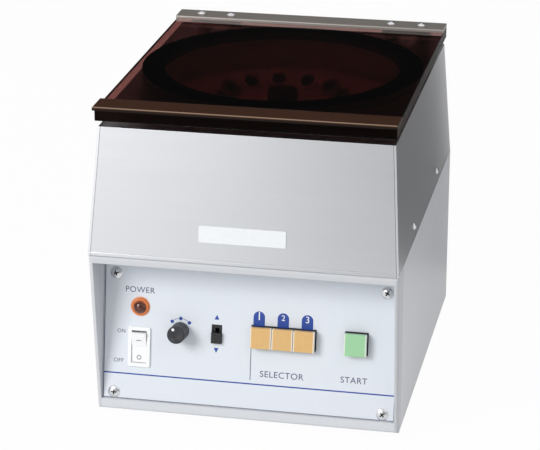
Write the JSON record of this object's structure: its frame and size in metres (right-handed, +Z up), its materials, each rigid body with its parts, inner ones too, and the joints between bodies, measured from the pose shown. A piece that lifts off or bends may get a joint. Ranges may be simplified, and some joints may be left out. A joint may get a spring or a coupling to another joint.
{
  "type": "bench centrifuge",
  "caption": "Bench centrifuge for small blood-test tubes: hinged smoked lid over a round chamber, stainless upper cover and a recessed sloping control panel.",
  "frame": {"origin": "on the bench top, below the middle of the whole machine", "axes": "+Z up, the control panel faces -Y, +X to the right seen from the front"},
  "size_m": [0.2624, 0.334, 0.2826],
  "materials": {
    "case_paint": "light grey-white enamel, satin",
    "panel_paint": "pale blue-white enamel, satin",
    "stainless": "brushed",
    "stainless_bowl": "spun",
    "smoked_acrylic": "polished",
    "lip_acrylic": "polished",
    "black_rubber": "matt",
    "bright_steel": "bright nickel plate",
    "zinc_steel": "zinc plate",
    "aluminium_part": "satin",
    "black_plastic": "fine matt",
    "white_plastic": "moulded",
    "orange_lens": "translucent",
    "green_lens": "translucent",
    "amber_lens": "clear amber",
    "iron_core": "laminated",
    "board_green": "lacquered board"
  },
  "bodies": {
    "root": {"lower_case": "case_paint", "base_plate": "zinc_steel", "rubber_feet": "black_rubber", "foot_screws": "zinc_steel", "stainless_cover": "stainless", "cover_screws": "bright_steel", "nameplate": "white_plastic", "chamber_bowl": "stainless_bowl", "bowl_boot": "black_rubber", "mount_pillars": "zinc_steel", "rubber_isolators": "black_rubber", "motor_mount_plate": "zinc_steel", "mount_bolts": "zinc_steel", "motor_can": "case_paint", "motor_upper_bell": "aluminium_part", "motor_lower_bell": "aluminium_part", "motor_bearings": "bright_steel", "motor_stator": "iron_core", "control_panel": "panel_paint", "panel_screws": "bright_steel", "power_lamp": "amber_lens", "lamp_holder": "black_plastic", "rocker_switch": "white_plastic", "rotary_switch": "black_plastic", "slide_switch": "black_plastic", "selector_switch_bank": "black_plastic", "start_switch": "black_plastic", "hinge_brackets": "stainless", "hinge_pins": "bright_steel", "bracket_screws": "bright_steel", "power_inlet": "black_plastic", "inlet_screws": "bright_steel", "fuse_holder": "black_plastic", "transformer": "iron_core", "motor_capacitor": "aluminium_part", "board_standoffs": "zinc_steel", "control_board": "board_green"},
    "lid": {"lid_plate": "smoked_acrylic", "lid_lip": "lip_acrylic", "lid_gasket": "black_rubber", "hinge_strip": "stainless", "lid_screws": "bright_steel", "hinge_leaves": "stainless"},
    "rotor": {"drive_shaft": "bright_steel", "motor_armature": "iron_core", "rotor_disc": "aluminium_part", "tube_shields": "bright_steel", "shield_cushions": "black_rubber", "rotor_knob": "black_plastic"},
    "power_rocker": {"power_rocker": "white_plastic"},
    "mode_knob": {"mode_knob": "black_plastic"},
    "slide_knob": {"slide_knob": "black_plastic"},
    "selector_1": {"selector_plunger_1": "black_plastic", "selector_button_1": "orange_lens"},
    "selector_2": {"selector_plunger_2": "black_plastic", "selector_button_2": "orange_lens"},
    "selector_3": {"selector_plunger_3": "black_plastic", "selector_button_3": "orange_lens"},
    "start_key": {"start_plunger": "black_plastic", "start_button": "green_lens"}
  },
  "joints": [
    {"name": "lid_hinge", "type": "hinge", "parent": "root", "child": "lid", "pos_m": [0, 0.154, 0.2662], "axis": [-1, 0, 0], "range_deg": [0, 100]},
    {"name": "rotor_spin", "type": "hinge", "parent": "root", "child": "rotor", "pos_m": [0, 0.006, 0.2], "axis": [0, 0, 1], "continuous": true},
    {"name": "power_rocker_tilt", "type": "hinge", "parent": "root", "child": "power_rocker", "pos_m": [-0.0945, -0.14045, 0.0634], "axis": [-1, 0, 0], "range_deg": [0, 18]},
    {"name": "mode_knob_turn", "type": "hinge", "parent": "root", "child": "mode_knob", "pos_m": [-0.059, -0.1386, 0.08023], "axis": [0, -0.9859, 0.1676], "range_deg": [-73, 17]},
    {"name": "slide_knob_slide", "type": "slide", "parent": "root", "child": "slide_knob", "axis": [0, 0.1676, 0.9859], "range_m": [0, 0.006]},
    {"name": "selector_1_press", "type": "slide", "parent": "root", "child": "selector_1", "axis": [0, 0.9859, -0.1676], "range_m": [0, 0.003], "stiffness_N_per_m": 400, "springref_m": -0.002},
    {"name": "selector_2_press", "type": "slide", "parent": "root", "child": "selector_2", "axis": [0, 0.9859, -0.1676], "range_m": [0, 0.003], "stiffness_N_per_m": 400, "springref_m": -0.002},
    {"name": "selector_3_press", "type": "slide", "parent": "root", "child": "selector_3", "axis": [0, 0.9859, -0.1676], "range_m": [0, 0.003], "stiffness_N_per_m": 400, "springref_m": -0.002},
    {"name": "start_press", "type": "slide", "parent": "root", "child": "start_key", "axis": [0, 0.9859, -0.1676], "range_m": [0, 0.003], "stiffness_N_per_m": 400, "springref_m": -0.002}
  ]
}
